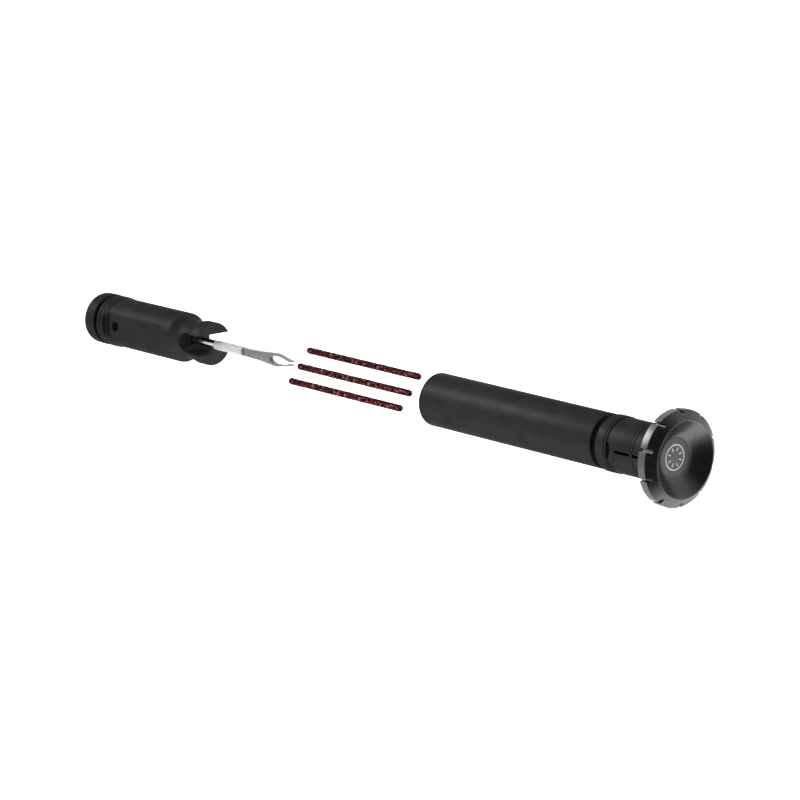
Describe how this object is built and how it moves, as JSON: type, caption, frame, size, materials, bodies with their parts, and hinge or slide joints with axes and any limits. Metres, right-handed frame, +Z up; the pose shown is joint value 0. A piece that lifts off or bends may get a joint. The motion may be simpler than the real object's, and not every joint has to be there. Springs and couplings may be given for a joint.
{
  "type": "tyre plug insertion tool",
  "caption": "Pocket tyre plug inserter with a forked needle handle, loose plugs and a storage tube that expands to grip inside a handlebar end.",
  "frame": {"origin": "under the middle of the whole layout, on the surface that the crown's rim stands on", "axes": "+X along the common axis of handle, needle and tube, from the end cap to the crown; +Z up; -Y towards the side with the handle's front flat"},
  "size_m": [0.2664, 0.0278, 0.0277],
  "materials": {
    "anodised": "satin black anodised aluminium",
    "rubber": "matt black rubber",
    "steel": "satin ground steel with a grit rasp",
    "zinc_steel": "turned steel",
    "plug_cord": "dark maroon rubbered cord",
    "badge": null
  },
  "bodies": {
    "case": {"storage_tube": "anodised", "mouth_o_ring": "rubber", "collet_base": "anodised", "grip_o_ring": "rubber", "jaw_heel_ring": "anodised", "jaw_spring_ring": "anodised"},
    "inserting_tool": {"handle_body": "anodised", "end_cap": "anodised", "end_cap_o_ring": "rubber", "end_cap_washer": "anodised", "fork_needle": "steel"},
    "plug_top": {"plug_top": "plug_cord"},
    "plug_middle": {"plug_middle": "plug_cord"},
    "plug_bottom": {"plug_bottom": "plug_cord"},
    "jaw_1": {"collet_jaw_1": "anodised"},
    "jaw_2": {"collet_jaw_2": "anodised"},
    "jaw_3": {"collet_jaw_3": "anodised"},
    "expander_cone": {"expander_cone": "zinc_steel"},
    "crown": {"crown": "anodised", "crown_badge": "badge", "draw_screw": "zinc_steel", "thrust_washer": "zinc_steel", "retaining_clip": "zinc_steel"}
  },
  "joints": [
    {"name": "tool_slide", "type": "slide", "parent": "case", "child": "inserting_tool", "axis": [1, 0, 0], "range_m": [0, 0.1203], "deforming": ["mouth_o_ring"]},
    {"name": "plug_top_slide", "type": "slide", "parent": "case", "child": "plug_top", "axis": [0.999, 0.0114, -0.0438], "range_m": [0, 0.07188], "deforming": ["mouth_o_ring"]},
    {"name": "plug_middle_slide", "type": "slide", "parent": "case", "child": "plug_middle", "axis": [0.9996, -0.0241, 0.0113], "range_m": [0, 0.06833], "deforming": ["mouth_o_ring"]},
    {"name": "plug_bottom_slide", "type": "slide", "parent": "case", "child": "plug_bottom", "axis": [0.999, -0.0139, 0.0424], "range_m": [0, 0.07188], "deforming": ["mouth_o_ring"]},
    {"name": "cone_slide", "type": "slide", "parent": "case", "child": "expander_cone", "axis": [-1, 0, 0], "range_m": [0, 0.0015], "deforming": ["jaw_spring_ring"]},
    {"name": "crown_turn", "type": "hinge", "parent": "expander_cone", "child": "crown", "pos_m": [0.1283, 0, 0.01386], "axis": [-1, 0, 0], "range_deg": [0, 541], "deforming": ["jaw_spring_ring"]},
    {"name": "jaw_1_tip", "type": "hinge", "parent": "case", "child": "jaw_1", "pos_m": [0.1107, -0.0038, 0.00728], "axis": [0, 0.866, -0.5], "range_deg": [0, 2.41], "deforming": ["jaw_spring_ring"]},
    {"name": "jaw_2_tip", "type": "hinge", "parent": "case", "child": "jaw_2", "pos_m": [0.1107, 0.0076, 0.01386], "axis": [0, 0, 1], "range_deg": [0, 2.41], "deforming": ["jaw_spring_ring"]},
    {"name": "jaw_3_tip", "type": "hinge", "parent": "case", "child": "jaw_3", "pos_m": [0.1107, -0.0038, 0.02044], "axis": [0, -0.866, -0.5], "range_deg": [0, 2.41], "deforming": ["jaw_spring_ring"]}
  ],
  "couplings": [
    {"joint": "plug_top_slide", "follows": "tool_slide", "ratio": 0.59745},
    {"joint": "plug_middle_slide", "follows": "tool_slide", "ratio": 0.56795},
    {"joint": "plug_bottom_slide", "follows": "tool_slide", "ratio": 0.59744},
    {"joint": "crown_turn", "follows": "cone_slide", "rad_per_m": 6283.2},
    {"joint": "jaw_1_tip", "follows": "cone_slide", "rad_per_m": 27.925},
    {"joint": "jaw_2_tip", "follows": "cone_slide", "rad_per_m": 27.925},
    {"joint": "jaw_3_tip", "follows": "cone_slide", "rad_per_m": 27.925}
  ]
}
